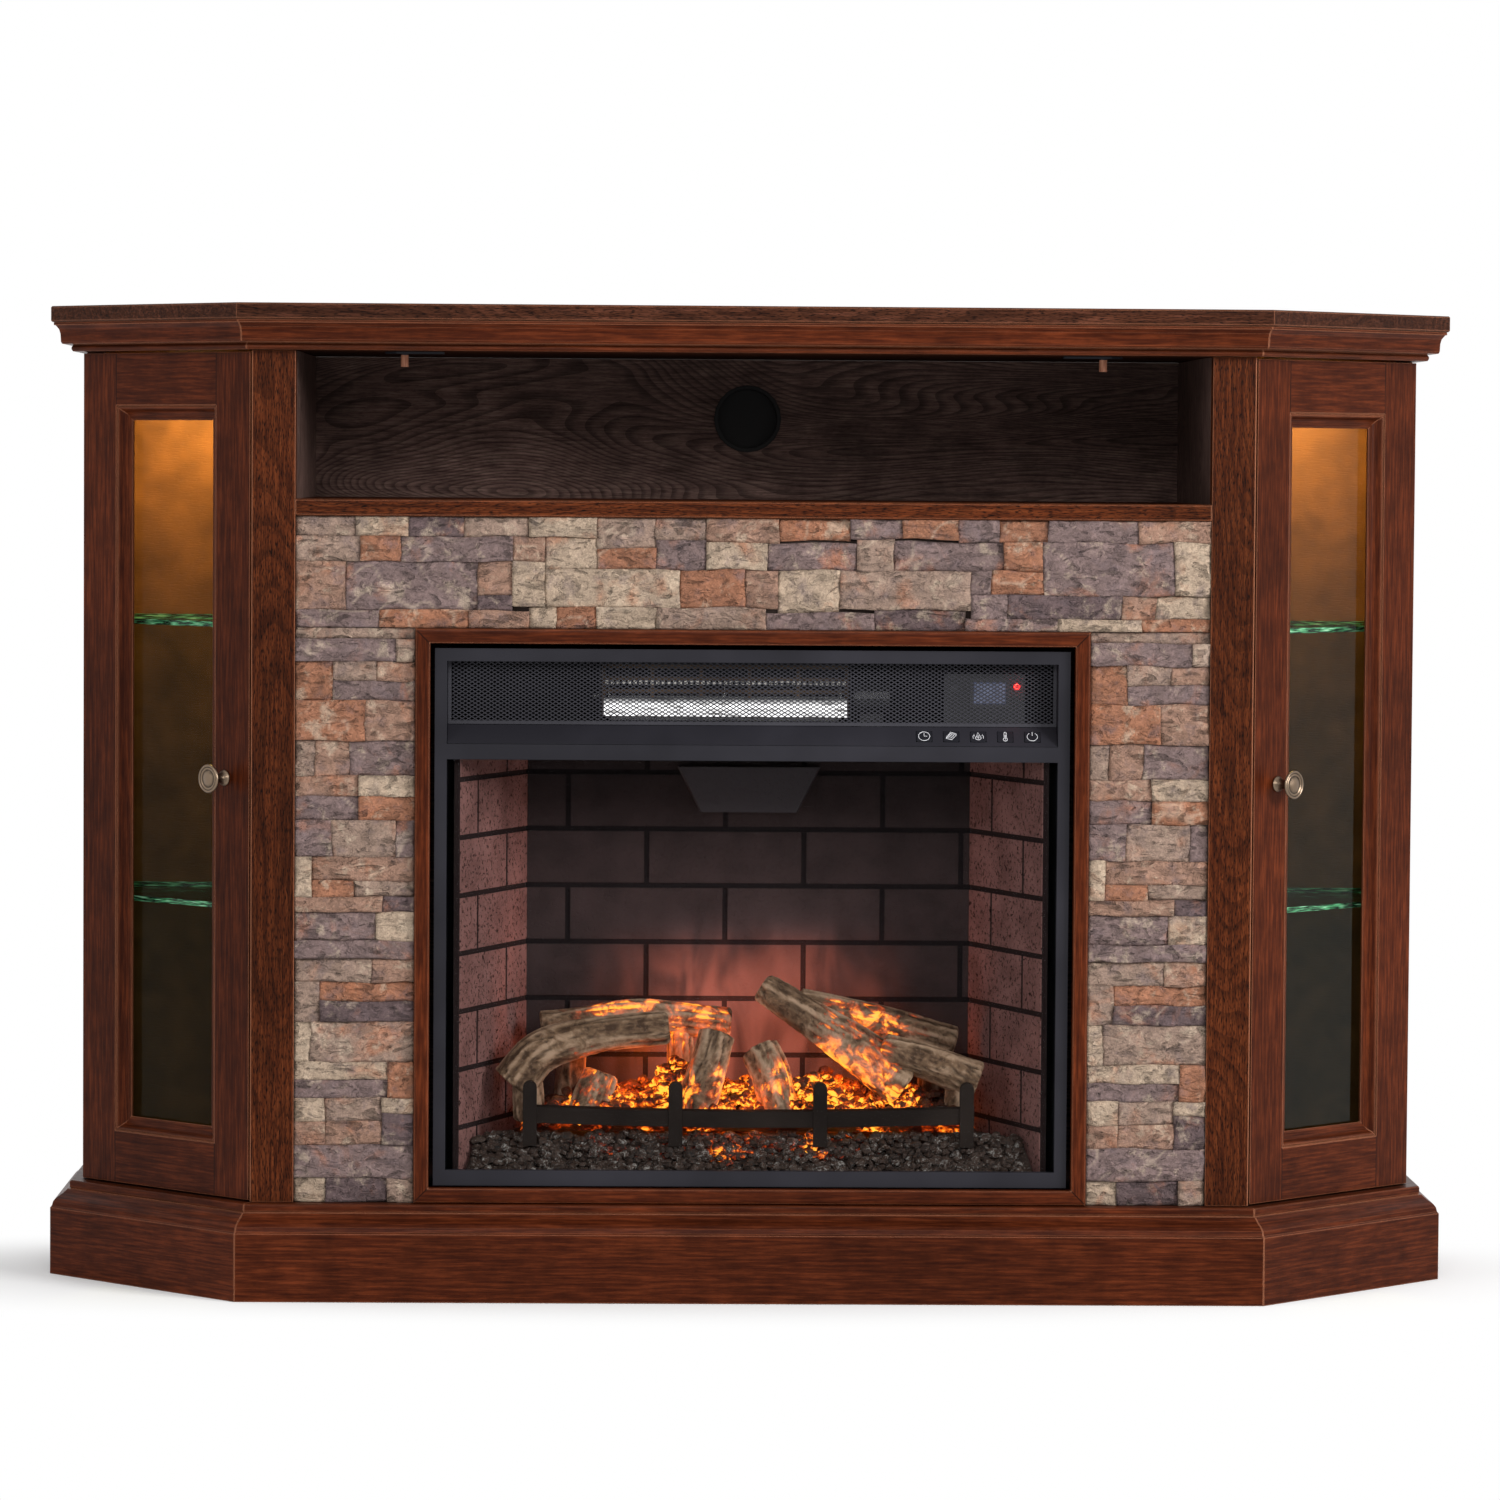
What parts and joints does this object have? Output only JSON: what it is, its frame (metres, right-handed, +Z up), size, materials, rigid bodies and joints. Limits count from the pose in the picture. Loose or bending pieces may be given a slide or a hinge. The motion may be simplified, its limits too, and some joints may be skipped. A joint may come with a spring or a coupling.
{
  "type": "corner fireplace",
  "caption": "Dark oak corner fireplace mantel with canted glazed cabinet doors, a media bay and an electric log insert in a stacked stone surround.",
  "frame": {"origin": "on the floor, in the middle of the overall box", "axes": "+X to the viewer's right along the flat front, +Y towards the wall behind, +Z up; the flat front faces -Y"},
  "size_m": [1.327, 0.4, 0.92],
  "materials": {
    "oak": "reddish brown open-grain oak with dark grain, satin, edges rubbed light grey",
    "dark_oak": "near-black oak veneer, satin",
    "carcass_board": "brown stained board, matt",
    "black_plastic": "matt black",
    "black_sheet": "black powder coat, satin",
    "clear_glass": "clear, faint green at the edges",
    "warm_lamp": "opal cover, lit warm white",
    "aged_nickel": "antique nickel, satin",
    "bright_steel": "bright sheet steel",
    "stacked_stone": "purple grey, tan, rust and cream ledge stone, split faces",
    "moulded_brick": "pitted fibre brick, matt, dark mortar lines",
    "ember_resin": "charcoal lumps with silver ash, orange glow between them",
    "log_resin": "painted cracked bark and pale cut ends",
    "cast_iron": "dark casting skin",
    "element_ceramic": "brown element board, matt",
    "blower_aluminium": "pressed aluminium",
    "motor_steel": "grey zinc plated steel",
    "display_plastic": "dark glossy window with a small red lamp",
    "key_plastic": "black keys with pale symbols"
  },
  "bodies": {
    "mantel": {"mantel_top": "oak", "front_cornice": "oak", "left_cornice": "oak", "right_cornice": "oak", "front_plinth": "oak", "left_plinth": "oak", "right_plinth": "oak", "roof_panel": "carcass_board", "base_deck": "carcass_board", "left_side_panel": "oak", "right_side_panel": "oak", "left_partition": "dark_oak", "right_partition": "dark_oak", "left_pilaster": "oak", "right_pilaster": "oak", "back_panel": "dark_oak", "media_shelf": "oak", "cable_grommet": "black_plastic", "left_ceiling_plate": "black_sheet", "right_ceiling_plate": "black_sheet", "left_lower_glass_shelf": "clear_glass", "left_upper_glass_shelf": "clear_glass", "right_lower_glass_shelf": "clear_glass", "right_upper_glass_shelf": "clear_glass", "left_cabinet_light": "warm_lamp", "right_cabinet_light": "warm_lamp", "left_lower_hinge": "bright_steel", "left_upper_hinge": "bright_steel", "right_lower_hinge": "bright_steel", "right_upper_hinge": "bright_steel", "stone_panel_top": "stacked_stone", "stone_panel_left": "stacked_stone", "stone_panel_right": "stacked_stone", "firebox_trim": "oak", "insert_front_frame": "black_sheet", "insert_housing": "black_sheet", "viewing_glass": "clear_glass", "brick_liner": "moulded_brick", "ember_bed": "ember_resin", "log_set": "log_resin", "grate": "cast_iron", "outlet_grille": "black_sheet", "heater_duct": "bright_steel", "heating_element": "element_ceramic", "blower_motor": "motor_steel", "control_lip": "black_sheet", "display_module": "display_plastic"},
    "left_door": {"left_door_frame": "oak", "left_door_glass": "clear_glass", "left_knob": "aged_nickel"},
    "right_door": {"right_door_frame": "oak", "right_door_glass": "clear_glass", "right_knob": "aged_nickel"},
    "blower": {"blower_wheel": "blower_aluminium"},
    "flame_effect": {"flame_rotor": "bright_steel"},
    "timer_button": {"timer_key": "key_plastic"},
    "heater_button": {"heater_key": "key_plastic"},
    "flame_button": {"flame_key": "key_plastic"},
    "thermostat_button": {"thermostat_key": "key_plastic"},
    "power_button": {"power_key": "key_plastic"}
  },
  "joints": [
    {"name": "left_door_hinge", "type": "hinge", "parent": "mantel", "child": "left_door", "pos_m": [-0.6335, 0.02828, 0.48], "axis": [0, 0, -1], "range_deg": [0, 100]},
    {"name": "right_door_hinge", "type": "hinge", "parent": "mantel", "child": "right_door", "pos_m": [0.6335, 0.02828, 0.48], "axis": [0, 0, 1], "range_deg": [0, 100]},
    {"name": "blower_spin", "type": "hinge", "parent": "mantel", "child": "blower", "pos_m": [0, -0.0756, 0.556], "axis": [1, 0, 0], "continuous": true},
    {"name": "flame_rotor_spin", "type": "hinge", "parent": "mantel", "child": "flame_effect", "pos_m": [0, 0.0279, 0.1383], "axis": [1, 0, 0], "continuous": true},
    {"name": "timer_press", "type": "slide", "parent": "mantel", "child": "timer_button", "axis": [0, 0.7386, -0.6742], "range_m": [0, 0.001], "stiffness_N_per_m": 400},
    {"name": "heater_press", "type": "slide", "parent": "mantel", "child": "heater_button", "axis": [0, 0.7386, -0.6742], "range_m": [0, 0.001], "stiffness_N_per_m": 400},
    {"name": "flame_press", "type": "slide", "parent": "mantel", "child": "flame_button", "axis": [0, 0.7386, -0.6742], "range_m": [0, 0.001], "stiffness_N_per_m": 400},
    {"name": "thermostat_press", "type": "slide", "parent": "mantel", "child": "thermostat_button", "axis": [0, 0.7386, -0.6742], "range_m": [0, 0.001], "stiffness_N_per_m": 400},
    {"name": "power_press", "type": "slide", "parent": "mantel", "child": "power_button", "axis": [0, 0.7386, -0.6742], "range_m": [0, 0.001], "stiffness_N_per_m": 400}
  ]
}
